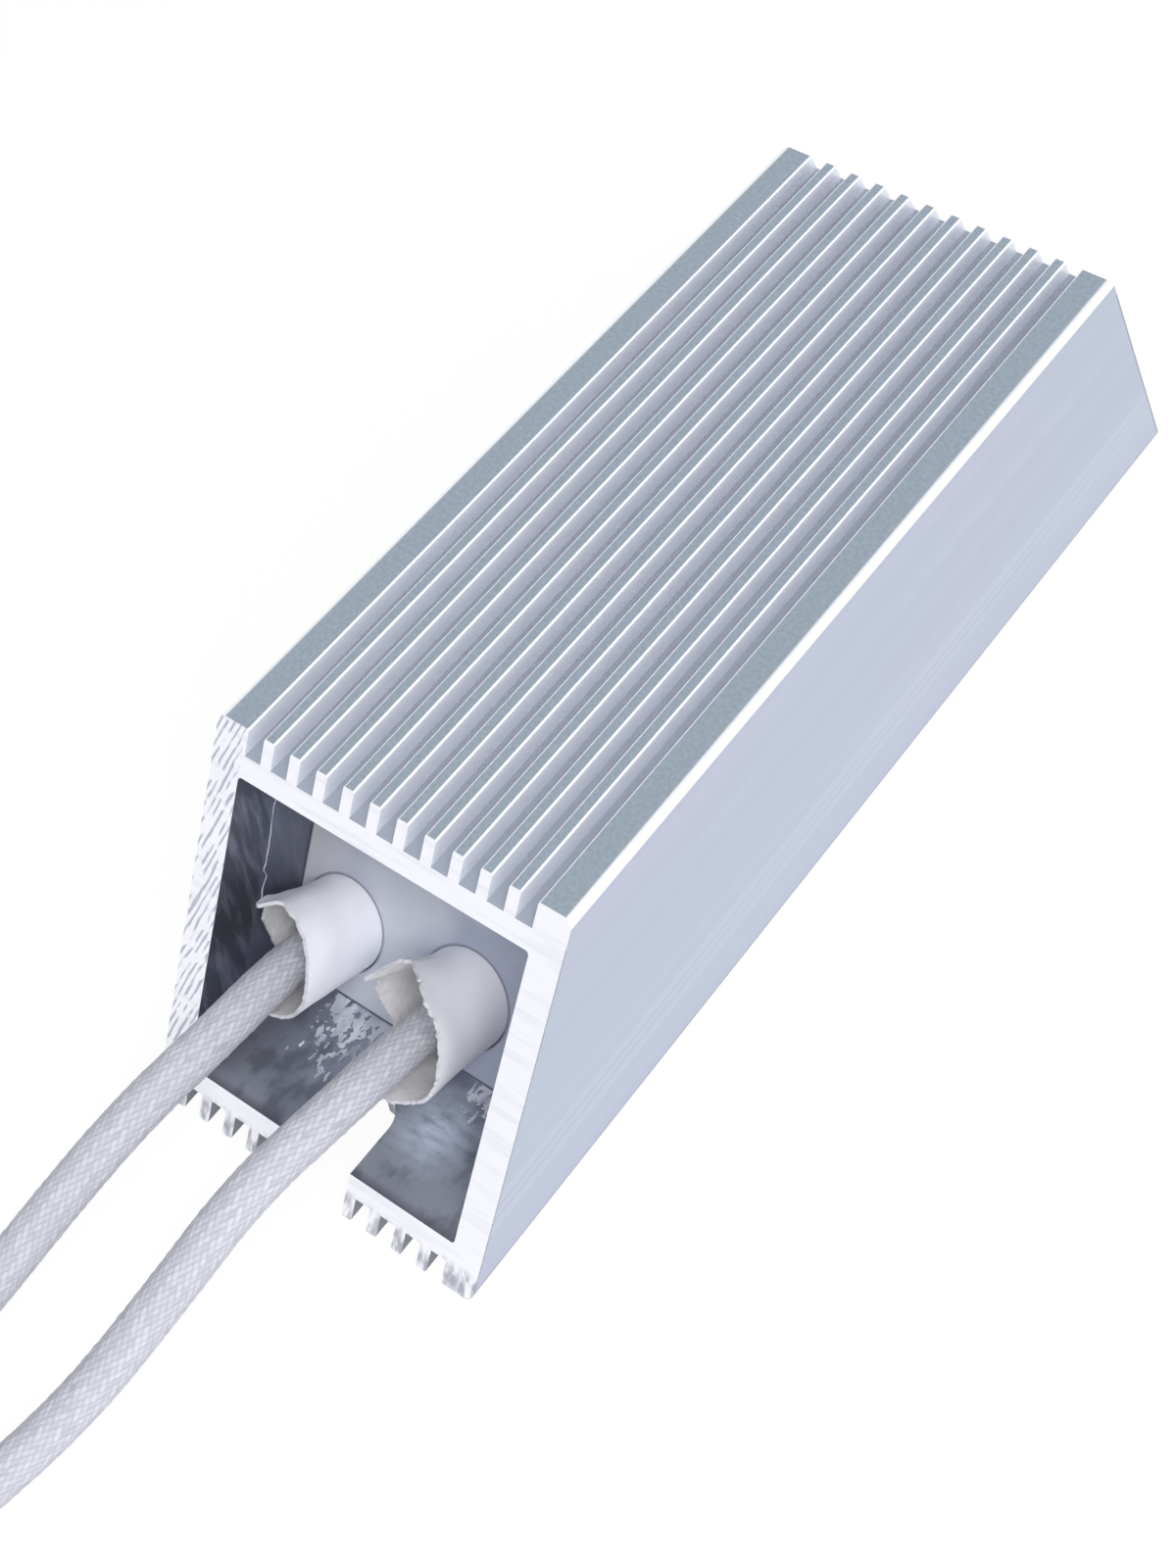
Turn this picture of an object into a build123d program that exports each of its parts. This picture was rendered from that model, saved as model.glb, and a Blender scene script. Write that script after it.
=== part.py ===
# A wire-wound power resistor in a finned aluminium housing.
# The housing is an extruded box tube with fins above and below. Both ends are sawn at a slant,
# so that it is longer at its base than at its top, and a screw slot is milled in the base at
# each end. Two wound ceramic formers lie inside in a sand fill, joined at the far end. Both
# braided leads leave the near end through flared sleeves that stand in the seal.
#
# Frame: X across the width, Y along the length with the leads at -Y, Z up from the base.

import math
import os

from build123d import *

os.makedirs("parts", exist_ok=True)

# Housing extrusion
housing_width = 60.0
housing_height = 60.0
housing_length = 200.0
end_setback = 31.0
side_wall = 5.0
plate_thickness = 3.2
fin_height = 3.8
fin_count = 10
fin_thickness = 1.85
fin_gap = 2.78
fin_tip_radius = 0.3
outer_edge_radius = 1.4
cavity_corner_radius = 0.6

# Screw slots: each takes the place of two base fins, counted from the left
slot_first_fin = 5
slot_last_fin = 6
slot_depth = 17.0

# Seals and what they hold
seal_depth = 22.3
seal_least_thickness = 6.0
seal_trim_margin = 1.0
lead_diameter = 6.8
lead_bend_radius = 18.0
lead_straight_in_seal = 3.0
lead_length_in_seal = 18.0
lead_exit_height = 17.0

# Sleeves
sleeve_wall = 1.1
sleeve_embedded = 5.0
sleeve_reach = 19.5
sleeve_mouth_slant = 12.0
left_sleeve_base_radius = 7.2
left_sleeve_mouth_radius = 8.5
right_sleeve_base_radius = 7.6
right_sleeve_mouth_radius = 9.6
sleeve_to_wall = 0.2
sleeve_gap_share = 0.35

# Resistance elements
mica_thickness = 0.5
former_radius = 7.0
former_bore_radius = 3.0
former_end_room = 4.3
spacer_thickness = 2.0
spacer_height = 24.0
spacer_web = 2.4
band_width = 4.0
band_thickness = 1.2
band_to_spacer = 1.0
fit_clearance = 0.03
ribbon_width = 2.4
ribbon_thickness = 0.6
ribbon_pitch = 4.6
ribbon_end_margin = 1.5
tab_width = 5.0
tab_thickness = 1.2
jumper_height = 5.0
jumper_thickness = 1.2
conductor_diameter = 3.2
ferrule_diameter = 5.0
ferrule_length = 8.0

# Ring lugs on the lead ends
lug_barrel_diameter = 6.4
lug_barrel_length = 9.0
lug_barrel_gap = 1.5
lug_tongue_width = 12.0
lug_tongue_thickness = 1.6
lug_hole_diameter = 6.4
lug_hole_distance = 20.0
lug_neck_width = 6.0
shrink_wall = 0.65
shrink_on_lead = 9.0
shrink_on_barrel = 6.0
shrink_taper = 1.5

# Lead routes: the first run leaves the seal squarely, then the lead falls to the bench
lead_first_run = 11.0
bend_share_of_run = 0.45
left_route = [
    (-15.9, -95.5, 24.4),
    (-18.2, -111.5, 22.6),
    (-21.2, -127.5, 15.6),
    (-24.0, -144.5, 7.6),
    (-27.5, -162.0, 4.15),
    (-32.5, -179.5, 4.15),
    (-36.5, -197.5, 4.15),
    (-38.0, -216.0, 4.15),
    (-37.0, -234.5, 4.15),
    (-34.5, -252.5, 4.15),
]
right_route = [
    (5.8, -95.5, 24.9),
    (3.0, -111.5, 23.3),
    (0.9, -127.5, 15.9),
    (-2.2, -144.5, 7.6),
    (-6.5, -162.5, 4.15),
    (-10.3, -180.5, 4.15),
    (-12.0, -199.0, 4.15),
    (-10.5, -217.5, 4.15),
    (-6.5, -235.5, 4.15),
    (-1.0, -252.5, 4.15),
]

# Values that follow from the sizes above
half_length = housing_length / 2
fin_pitch = fin_thickness + fin_gap
fin_field = fin_count * fin_pitch + fin_gap
floor_z = fin_height + plate_thickness
ceiling_z = housing_height - floor_z
cavity_width = housing_width - 2 * side_wall
cavity_height = ceiling_z - floor_z
cavity_centre_z = housing_height / 2
slant = end_setback / housing_height
slant_angle = math.atan(slant)
seal_normal = Vector(0, -math.cos(slant_angle), math.sin(slant_angle))
lead_radius = lead_diameter / 2

# The left sleeve's mouth stands by the left wall, and the right one a share of the room left over
sleeve_widths = 2 * (left_sleeve_mouth_radius + right_sleeve_mouth_radius)
room_beside_sleeves = cavity_width - sleeve_to_wall - sleeve_widths
left_lead_x = -cavity_width / 2 + sleeve_to_wall + left_sleeve_mouth_radius
right_lead_x = (
    left_lead_x
    + left_sleeve_mouth_radius
    + sleeve_gap_share * room_beside_sleeves
    + right_sleeve_mouth_radius
)


def cut_y(z):
    """The near sawn face at a height; the far one is its mirror image."""
    return -half_length + slant * z


def seal_y(z):
    """The near seal's outer face, parallel to the sawn face."""
    return cut_y(z) + seal_depth


seal_inner_y = seal_y(ceiling_z) + seal_least_thickness
fill_length = -2 * seal_inner_y


def fin_left_face(number):
    """X of a fin's left face, with fins counted from 1 at the left."""
    return -fin_field / 2 + number * fin_gap + (number - 1) * fin_thickness


def box_between(low, high):
    size = [b - a for a, b in zip(low, high)]
    centre = [(a + b) / 2 for a, b in zip(low, high)]
    return Pos(*centre) * Box(*size)


def side_prism(corners, width):
    """A prism across the part, from corners given as Y and Z."""
    face = make_face(Polyline([(0, y, z) for y, z in corners], close=True))
    return extrude(face, amount=width / 2, dir=(1, 0, 0), both=True)


def along_y(radius, length, centre):
    """A cylinder along Y, centred on a point."""
    return Pos(*centre) * Rot(90, 0, 0) * Cylinder(radius, length)


def cavity_block(y_low, y_high):
    """The housing's cavity between two places along the length."""
    section = RectangleRounded(cavity_width, cavity_height, cavity_corner_radius)
    start = Plane(origin=(0, y_high, cavity_centre_z), x_dir=(1, 0, 0), z_dir=(0, -1, 0))
    return extrude(start * section, amount=y_high - y_low)


# Housing: one extrusion, sawn at a slant at both ends and slotted in its base
def profile_face():
    outline = RectangleRounded(housing_width, housing_height, outer_edge_radius)
    groove = Rectangle(fin_gap, fin_height)
    face = outline - RectangleRounded(cavity_width, cavity_height, cavity_corner_radius)
    groove_z = (housing_height - fin_height) / 2
    for number in range(1, fin_count + 2):
        x = fin_left_face(number) - fin_gap / 2
        face -= Pos(x, groove_z) * groove
        face -= Pos(x, -groove_z) * groove
    tips = [
        corner
        for corner in face.vertices()
        if abs(abs(corner.Y) - housing_height / 2) < 1e-6 and abs(corner.X) < fin_field / 2 + 1e-6
    ]
    return fillet(tips, fin_tip_radius)


def screw_slot():
    """What the mill takes out of the base at the near end."""
    left = fin_left_face(slot_first_fin)
    right = fin_left_face(slot_last_fin + 1)
    radius = (right - left) / 2
    middle = (left + right) / 2
    end_y = -half_length + slot_depth - radius
    top = floor_z + plate_thickness / 2
    straight = box_between((left, -half_length - radius, -radius), (right, end_y, top))
    depth = top + radius
    rounded = Pos(middle, end_y, top - depth / 2) * Cylinder(radius, depth)
    return straight + rounded


def make_housing():
    start = Plane(origin=(0, half_length, housing_height / 2), x_dir=(1, 0, 0), z_dir=(0, -1, 0))
    bar = extrude(start * profile_face(), amount=housing_length)
    ends = [
        (-half_length, 0),
        (half_length, 0),
        (-cut_y(housing_height), housing_height),
        (cut_y(housing_height), housing_height),
    ]
    sawn = bar & side_prism(ends, 2 * housing_width)
    near_slot = screw_slot()
    return sawn - near_slot - mirror(near_slot, about=Plane.XZ)


# The near end's leads, sleeves and seal
def lead_exit(x):
    """Where a lead leaves the seal's outer face."""
    return Vector(x, seal_y(lead_exit_height), lead_exit_height)


def exit_plane(x):
    return Plane(origin=lead_exit(x), x_dir=(1, 0, 0), z_dir=seal_normal)


def tail_path(x):
    """The lead's way into the seal: square to the face, then bent level."""
    start = lead_exit(x)
    bend = start - seal_normal * lead_straight_in_seal
    drop = lead_bend_radius * (1 - math.cos(slant_angle))
    run = lead_bend_radius * math.sin(slant_angle)
    level = Vector(x, bend.Y + run, bend.Z - drop)
    end = Vector(x, seal_y(lead_exit_height) + lead_length_in_seal, level.Z)
    return Wire([Line(start, bend), TangentArc(bend, level, tangent=-seal_normal), Line(level, end)])


def make_tail(x):
    section = Plane(origin=lead_exit(x), z_dir=-seal_normal) * Circle(lead_radius)
    return sweep(section, path=tail_path(x))


def tail_end(x):
    return tail_path(x) @ 1


def make_sleeve(x, base_radius, mouth_radius):
    """A flared sleeve, set into the seal and cut at a slant at its mouth."""
    profile = [
        (base_radius - sleeve_wall, -sleeve_embedded),
        (base_radius, -sleeve_embedded),
        (base_radius, 0),
        (mouth_radius, sleeve_reach),
        (mouth_radius - sleeve_wall, sleeve_reach),
        (base_radius - sleeve_wall, 0),
    ]
    face = make_face(Polyline([(radius, 0, along) for radius, along in profile], close=True))
    tube = revolve(face, axis=Axis.Z)
    trim = Plane(origin=(0, 0, sleeve_reach)).rotated((sleeve_mouth_slant, 0, 0))
    beyond = trim.offset(mouth_radius * math.tan(math.radians(-sleeve_mouth_slant)))
    tube -= extrude(beyond * Rectangle(6 * mouth_radius, 6 * mouth_radius), amount=sleeve_reach)
    return exit_plane(x).location * tube


def seal_wedge():
    below = floor_z - seal_trim_margin
    above = ceiling_z + seal_trim_margin
    corners = [
        (seal_y(below), below),
        (seal_y(above), above),
        (seal_inner_y, above),
        (seal_inner_y, below),
    ]
    return cavity_block(-half_length, seal_inner_y) & side_prism(corners, 2 * housing_width)


# The resistance elements
former_x = (cavity_width - 2 * mica_thickness) / 4
former_z = cavity_centre_z
former_length = fill_length - 2 * former_end_room
band_radius = former_radius + band_thickness
spacer_outer_y = former_length / 2
band_outer_y = spacer_outer_y - spacer_thickness - band_to_spacer
wound_half = band_outer_y - band_width
tab_y = band_outer_y - band_width / 2


def make_former(x):
    body = along_y(former_radius, former_length, (x, 0, former_z))
    return body - along_y(former_bore_radius, former_length, (x, 0, former_z))


def make_winding(x):
    radius = former_radius + fit_clearance + ribbon_thickness / 2
    height = 2 * (wound_half - ribbon_end_margin)
    path = Helix(pitch=ribbon_pitch, height=height, radius=radius, direction=(0, 1, 0))
    start = path @ 0
    section = Plane(origin=start, x_dir=(start.X, 0, start.Z), z_dir=path % 0)
    ribbon = sweep(
        section * Rectangle(ribbon_thickness, ribbon_width), path=path, is_frenet=True
    )
    return Pos(x, -height / 2, former_z) * ribbon


def band_ring(x, side):
    """A clamped terminal band at the near (-1) or far (1) end of a former."""
    centre = (x, side * (band_outer_y - band_width / 2), former_z)
    ring = along_y(band_radius, band_width, centre)
    return ring - along_y(former_radius + fit_clearance, band_width, centre)


def make_near_band(x, lead_x, bottom_z):
    tab = box_between(
        (lead_x - tab_width / 2, -tab_y - tab_thickness / 2, bottom_z),
        (lead_x + tab_width / 2, -tab_y + tab_thickness / 2, former_z),
    )
    hole = along_y(former_radius + fit_clearance, 2 * band_width, (x, -tab_y, former_z))
    return band_ring(x, -1) + (tab - hole)


def make_jumper():
    strip = box_between(
        (-former_x, tab_y - jumper_thickness / 2, former_z - jumper_height / 2),
        (former_x, tab_y + jumper_thickness / 2, former_z + jumper_height / 2),
    )
    for x in (-former_x, former_x):
        strip -= along_y(band_radius, 2 * band_width, (x, tab_y, former_z))
    return strip


def make_spacer(side):
    """A plate that holds both formers apart, the near one with room for the ferrules."""
    y = side * (spacer_outer_y - spacer_thickness / 2)
    hole_radius = former_radius + fit_clearance
    width = 2 * (former_x + hole_radius + spacer_web)
    plate = Pos(0, y, former_z) * Box(width, spacer_thickness, spacer_height)
    for x in (-former_x, former_x):
        plate -= along_y(hole_radius, 2 * spacer_thickness, (x, y, former_z))
    if side < 0:
        for x in (left_lead_x, right_lead_x):
            passage = (x, y, tail_end(x).Z)
            plate -= along_y(ferrule_diameter / 2 + fit_clearance, 2 * spacer_thickness, passage)
    return plate


def make_conductor(x):
    start = tail_end(x)
    end_y = -tab_y - tab_thickness / 2
    length = end_y - start.Y
    return along_y(conductor_diameter / 2, length, (x, start.Y + length / 2, start.Z))


def make_ferrule(x):
    end_y = -tab_y - tab_thickness / 2
    centre = (x, end_y - ferrule_length / 2, tail_end(x).Z)
    tube = along_y(ferrule_diameter / 2, ferrule_length, centre)
    return tube - along_y(conductor_diameter / 2, ferrule_length, centre)


# Mica sheets that line the cavity between the seals
def make_flat_mica(side):
    z = cavity_centre_z + side * (cavity_height - mica_thickness) / 2
    width = cavity_width - 2 * cavity_corner_radius
    return Pos(0, 0, z) * Box(width, fill_length, mica_thickness)


def make_upright_mica(side):
    x = side * (cavity_width - mica_thickness) / 2
    height = cavity_height - 2 * max(mica_thickness, cavity_corner_radius)
    return Pos(x, 0, cavity_centre_z) * Box(mica_thickness, fill_length, height)


# Free leads: a plain tube along straight runs joined by tangent arcs
def route_points(x, route):
    start = lead_exit(x)
    return [start, start + seal_normal * lead_first_run] + [Vector(*point) for point in route]


def make_lead(name, x, route):
    points = route_points(x, route)
    runs = [(b - a).length for a, b in zip(points, points[1:])]
    radii = []
    for a, b, c, run_in, run_out in zip(points, points[1:], points[2:], runs, runs[1:]):
        turn = math.radians((b - a).get_angle(c - b))
        radii.append(bend_share_of_run * min(run_in, run_out) / math.tan(turn / 2))
    path = FilletPolyline(*points, radius=radii)
    section = Plane(origin=points[0], z_dir=seal_normal) * Circle(lead_radius)
    tube = sweep(section, path=path)
    share = tube.volume / (math.pi * lead_radius**2 * path.length)
    print(name, "length", round(path.length, 1), "volume share", round(share, 4))
    print(name, "bend radii", [round(radius, 1) for radius in radii])
    return tube


# Lead ends: crimped ring lug, conductor end and shrink sleeve
def end_plane(route):
    """Z runs out of the lead's end and Y points up."""
    last, before = Vector(*route[-1]), Vector(*route[-2])
    out = (last - before).normalized()
    return Plane(origin=last, x_dir=Vector(0, 0, 1).cross(out), z_dir=out)


def make_lug(route):
    barrel_start = lug_barrel_gap
    barrel_end = barrel_start + lug_barrel_length
    barrel_radius = lug_barrel_diameter / 2
    bore_radius = conductor_diameter / 2
    barrel = Pos(0, 0, (barrel_start + barrel_end) / 2) * Cylinder(barrel_radius, lug_barrel_length)
    barrel -= Pos(0, 0, (barrel_start + barrel_end) / 2) * Cylinder(bore_radius, lug_barrel_length)
    tongue_y = barrel_radius - lug_tongue_thickness / 2
    flat = Plane(origin=(0, tongue_y, 0), x_dir=(1, 0, 0), z_dir=(0, -1, 0))
    neck_start = barrel_end - lug_tongue_thickness
    neck = Pos(0, (neck_start + lug_hole_distance) / 2) * Rectangle(
        lug_neck_width, lug_hole_distance - neck_start
    )
    ring = Pos(0, lug_hole_distance) * Circle(lug_tongue_width / 2)
    hole = Pos(0, lug_hole_distance) * Circle(lug_hole_diameter / 2)
    tongue = extrude(
        flat * (neck + ring - hole), amount=lug_tongue_thickness / 2, both=True
    )
    inside = Pos(0, 0, barrel_end / 2) * Cylinder(bore_radius, barrel_end)
    return end_plane(route).location * (barrel + tongue - inside)


def make_conductor_end(route):
    length = lug_barrel_gap + lug_barrel_length
    return end_plane(route).location * Pos(0, 0, length / 2) * Cylinder(conductor_diameter / 2, length)


def make_shrink(route):
    barrel_radius = lug_barrel_diameter / 2
    end = lug_barrel_gap + shrink_on_barrel
    profile = [
        (lead_radius, -shrink_on_lead),
        (lead_radius + shrink_wall, -shrink_on_lead),
        (lead_radius + shrink_wall, 0),
        (barrel_radius + shrink_wall, lug_barrel_gap + shrink_taper),
        (barrel_radius + shrink_wall, end),
        (barrel_radius, end),
        (barrel_radius, lug_barrel_gap),
        (lead_radius, 0),
    ]
    face = make_face(Polyline([(radius, 0, along) for radius, along in profile], close=True))
    return end_plane(route).location * revolve(face, axis=Axis.Z)


# Everything is built here and written one file to a node
band_bottom_z = tail_end(left_lead_x).Z - ferrule_diameter / 2
sides = {
    "left": (left_lead_x, -former_x, left_sleeve_base_radius, left_sleeve_mouth_radius, left_route),
    "right": (
        right_lead_x,
        former_x,
        right_sleeve_base_radius,
        right_sleeve_mouth_radius,
        right_route,
    ),
}

parts = {"housing": make_housing()}
in_seal = []
in_fill = []

for side, (lead_x, x, base_radius, mouth_radius, route) in sides.items():
    sleeve = make_sleeve(lead_x, base_radius, mouth_radius)
    tail = make_tail(lead_x)
    conductor = make_conductor(lead_x)
    ferrule = make_ferrule(lead_x)
    near_band = make_near_band(x, lead_x, band_bottom_z)
    far_band = band_ring(x, 1)
    former = make_former(x)
    parts[f"lead_sleeve_{side}"] = sleeve
    parts[f"lead_{side}_in_seal"] = tail
    parts[f"lead_{side}_conductor"] = conductor
    parts[f"crimp_ferrule_{side}"] = ferrule
    parts[f"near_terminal_band_{side}"] = near_band
    parts[f"far_terminal_band_{side}"] = far_band
    parts[f"ceramic_former_{side}"] = former
    parts[f"resistance_winding_{side}"] = make_winding(x)
    parts[f"lead_{side}"] = make_lead(f"lead_{side}", lead_x, route)
    parts[f"ring_lug_{side}"] = make_lug(route)
    parts[f"conductor_end_{side}"] = make_conductor_end(route)
    parts[f"shrink_sleeve_{side}"] = make_shrink(route)
    in_seal += [sleeve, tail, conductor]
    wound = 2 * wound_half
    winding_radius = former_radius + 2 * fit_clearance + ribbon_thickness
    winding_space = along_y(winding_radius, wound, (x, 0, former_z))
    in_fill += [conductor, ferrule, near_band, far_band, former]
    in_fill.append(winding_space - along_y(former_radius, wound, (x, 0, former_z)))

parts["far_link_strip"] = make_jumper()
parts["near_spacer_plate"] = make_spacer(-1)
parts["far_spacer_plate"] = make_spacer(1)
parts["mica_sheet_bottom"] = make_flat_mica(-1)
parts["mica_sheet_top"] = make_flat_mica(1)
parts["mica_sheet_left"] = make_upright_mica(-1)
parts["mica_sheet_right"] = make_upright_mica(1)
in_fill += [parts[name] for name in parts if name.startswith("mica") or "spacer" in name]
in_fill.append(parts["far_link_strip"])

wedge = seal_wedge()
near_seal = wedge
for piece in in_seal:
    near_seal -= piece
parts["near_seal"] = near_seal
parts["far_seal"] = mirror(wedge, about=Plane.XZ)

sand_fill = cavity_block(seal_inner_y, -seal_inner_y)
for piece in in_fill:
    sand_fill -= piece
parts["sand_fill"] = sand_fill

for name, shape in parts.items():
    shape.label = name
    export_step(shape, f"parts/{name}.step")
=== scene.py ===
import math

import bpy
from mathutils import Matrix, Vector, noise


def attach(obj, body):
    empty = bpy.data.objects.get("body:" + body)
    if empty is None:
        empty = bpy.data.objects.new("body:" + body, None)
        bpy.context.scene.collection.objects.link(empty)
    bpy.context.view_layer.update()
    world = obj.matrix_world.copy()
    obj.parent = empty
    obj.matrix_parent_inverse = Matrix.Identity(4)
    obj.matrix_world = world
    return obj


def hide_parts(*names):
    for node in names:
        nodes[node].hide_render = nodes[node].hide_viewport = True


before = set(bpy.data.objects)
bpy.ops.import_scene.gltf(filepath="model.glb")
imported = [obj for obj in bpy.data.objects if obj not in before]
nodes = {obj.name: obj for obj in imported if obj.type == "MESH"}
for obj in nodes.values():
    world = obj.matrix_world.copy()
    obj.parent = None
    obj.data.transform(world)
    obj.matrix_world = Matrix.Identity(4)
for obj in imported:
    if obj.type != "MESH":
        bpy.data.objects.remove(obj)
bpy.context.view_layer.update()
bpy.ops.object.select_all(action="DESELECT")
bpy.context.scene.view_settings.view_transform = "Standard"

# Housing
#
# One length of extruded aluminium box with fins above and below, clear anodised to a satin
# blue-grey. Both ends are sawn at a slant after anodising, so they show bright bare metal
# with the saw's marks, and a screw slot is milled in the base at each end.
MM = 0.001
base_half_length = 100 * MM
end_slant = 31 / 60
side_face = 29.9 * MM
fin_field_half_width = 24.6 * MM
fin_tip_top = 59.85 * MM
fin_root_top = 56.0 * MM
fin_root_base = 4.0 * MM
fin_tip_base = 0.15 * MM
cavity_half_width = 25.05 * MM
cavity_low = 6.9 * MM
cavity_high = 53.1 * MM

extruded_colour = (0.44, 0.475, 0.595, 1)
extruded_light_colour = (0.48, 0.52, 0.63, 1)
tinge_colour = (0.43, 0.51, 0.60, 1)
tinge_strength = 0.45
shaded_top_colour = (0.38, 0.45, 0.51, 1)
shaded_top_light_colour = (0.44, 0.51, 0.58, 1)
lit_fin_side_colour = (0.75, 0.77, 0.83, 1)
shaded_groove_floor_colour = (0.33, 0.36, 0.42, 1)
shaded_base_groove_colour = (0.16, 0.17, 0.20, 1)
outer_metallic = 0.78
groove_metallic = 0.35
extruded_roughness = 0.30
die_line_roughness = 0.10
score_heights = (11.4, 12.4, 14.8, 17.0, 18.0)
score_width = 0.2 * MM
score_colour = (0.62, 0.66, 0.78, 1)
score_strength = 0.45
edge_highlight_colour = (1.0, 1.0, 1.0, 1)
edges_shaded_below = 20 * MM
edges_highlit_above = 40 * MM
cut_line_and_edge_shade_colour = (0.16, 0.17, 0.21, 1)
cut_line_width = 0.3 * MM
cut_line_strength = 0.75
base_shade_height = 1.5 * MM
base_shade_strength = 0.6

sawn_colour = (0.90, 0.90, 0.94, 1)
sawn_roughness = 0.12
saw_mark_colour = (0.36, 0.38, 0.46, 1)
saw_lean = 0.36
saw_pitch = 1.05 * MM
saw_wander = 9.0
saw_stroke_strength = 0.8
fine_mark_strength = 0.12
base_fin_end_shade_colour = (0.42, 0.43, 0.49, 1)
end_shade_full_below = 3.0 * MM
end_shade_none_above = 4.6 * MM
metal_relief = 0.03 * MM

cavity_colour = (0.11, 0.12, 0.15, 1)
cavity_streak_colour = (0.26, 0.27, 0.33, 1)
wall_film_colour = (0.24, 0.25, 0.32, 1)
wall_film_strength = 0.65
wall_film_start = 10.0 * MM
wall_film_full = 10.8 * MM
floor_dark_colour = (0.27, 0.29, 0.35, 1)
floor_light_colour = (0.39, 0.41, 0.48, 1)
smudge_strength = 0.55
sheen_place = (0.0118, -0.0838, 0.007)
sheen_core = 1.5 * MM
sheen_reach = 8.5 * MM
sheen_colour = (0.62, 0.68, 0.78, 1)
floor_shade_full_within = 0.2 * MM
floor_shade_reach = 1.6 * MM
floor_shade_strength = 0.7


def wire(tree, kind, settings=None, **inputs):
    """A shader node with its settings and inputs. An input is a value or another socket."""
    node = tree.nodes.new(kind)
    for name, value in (settings or {}).items():
        setattr(node, name, value)
    for name, value in inputs.items():
        by_number = name[1:].isdigit()
        socket = node.inputs[int(name[1:]) if by_number else name.replace("_", " ")]
        if isinstance(value, bpy.types.NodeSocket):
            tree.links.new(value, socket)
        else:
            socket.default_value = value
    return node


def maths(tree, operation, *values):
    inputs = {f"i{number}": value for number, value in enumerate(values)}
    return wire(tree, "ShaderNodeMath", {"operation": operation}, **inputs).outputs[0]


def vector_maths(tree, operation, *values):
    inputs = {f"i{number}": value for number, value in enumerate(values)}
    return wire(tree, "ShaderNodeVectorMath", {"operation": operation}, **inputs).outputs


def product(tree, first, *others):
    for other in others:
        first = maths(tree, "MULTIPLY", first, other)
    return first


def opposite(tree, mask):
    return maths(tree, "SUBTRACT", 1.0, mask)


def above(tree, value, least):
    return maths(tree, "GREATER_THAN", value, least)


def below(tree, value, most):
    return maths(tree, "LESS_THAN", value, most)


def between(tree, value, low, high):
    return product(tree, above(tree, value, low), below(tree, value, high))


def band(tree, value, low, high):
    """0 below low, 1 above high and a straight rise between them."""
    return wire(
        tree, "ShaderNodeMapRange", i0=value, i1=low, i2=high, i3=0.0, i4=1.0
    ).outputs[0]


def blend_colours(tree, share, first, second):
    """The first colour where share is 0 and the second where it is 1."""
    node = wire(tree, "ShaderNodeMix", {"data_type": "RGBA"}, i0=share, i6=first, i7=second)
    return node.outputs[2]


grain_group = bpy.data.node_groups.new("grain", "ShaderNodeTree")
grain_sockets = {
    "INPUT": {
        "Place": "Vector",
        "Stretch": "Vector",
        "Scale": "Float",
        "Detail": "Float",
        "Dark": "Color",
        "Light": "Color",
    },
    "OUTPUT": {"Grain": "Float", "Colour": "Color"},
}
for way, sockets in grain_sockets.items():
    for name, kind in sockets.items():
        grain_group.interface.new_socket(name, in_out=way, socket_type=f"NodeSocket{kind}")
given = grain_group.nodes.new("NodeGroupInput").outputs
drawn_out = vector_maths(grain_group, "MULTIPLY", given["Place"], given["Stretch"])[0]
grain = wire(
    grain_group,
    "ShaderNodeTexNoise",
    Vector=drawn_out,
    Scale=given["Scale"],
    Detail=given["Detail"],
).outputs[0]
grain_colour = blend_colours(grain_group, grain, given["Dark"], given["Light"])
wire(grain_group, "NodeGroupOutput", Grain=grain, Colour=grain_colour)


def grained(tree, place, stretch, scale, detail=3.0, dark=(0, 0, 0, 1), light=(1, 1, 1, 1)):
    """Grain that is drawn out along the axes where stretch is small, with its two colours."""
    return wire(
        tree,
        "ShaderNodeGroup",
        {"node_tree": grain_group},
        Place=place,
        Stretch=stretch,
        Scale=scale,
        Detail=detail,
        Dark=dark,
        Light=light,
    ).outputs


def new_material(name, roughness=0.5, metallic=0.0, specular=0.5):
    material = bpy.data.materials.new(name)
    material.use_nodes = True
    tree = material.node_tree
    surface = tree.nodes["Principled BSDF"]
    surface.inputs["Roughness"].default_value = roughness
    surface.inputs["Metallic"].default_value = metallic
    surface.inputs["Specular IOR Level"].default_value = specular
    return material, tree, surface


def emboss(tree, surface, height, distance, strength=0.5):
    bump = wire(tree, "ShaderNodeBump", Height=height, Distance=distance, Strength=strength)
    tree.links.new(bump.outputs[0], surface.inputs["Normal"])


def grained_material(name, finish, scale, dark, light, depth, detail=3.0, strength=0.5):
    """A material of two colours of grain. Its finish is roughness, metallic and specular."""
    material, tree, surface = new_material(name, *finish)
    place = wire(tree, "ShaderNodeTexCoord").outputs["Object"]
    outputs = grained(tree, place, (1, 1, 1), scale, detail, dark, light)
    tree.links.new(outputs["Colour"], surface.inputs["Base Color"])
    emboss(tree, surface, outputs["Grain"], depth, strength)
    return material


def finish_node(name, material):
    nodes[name].data.materials.clear()
    nodes[name].data.materials.append(material)


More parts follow.
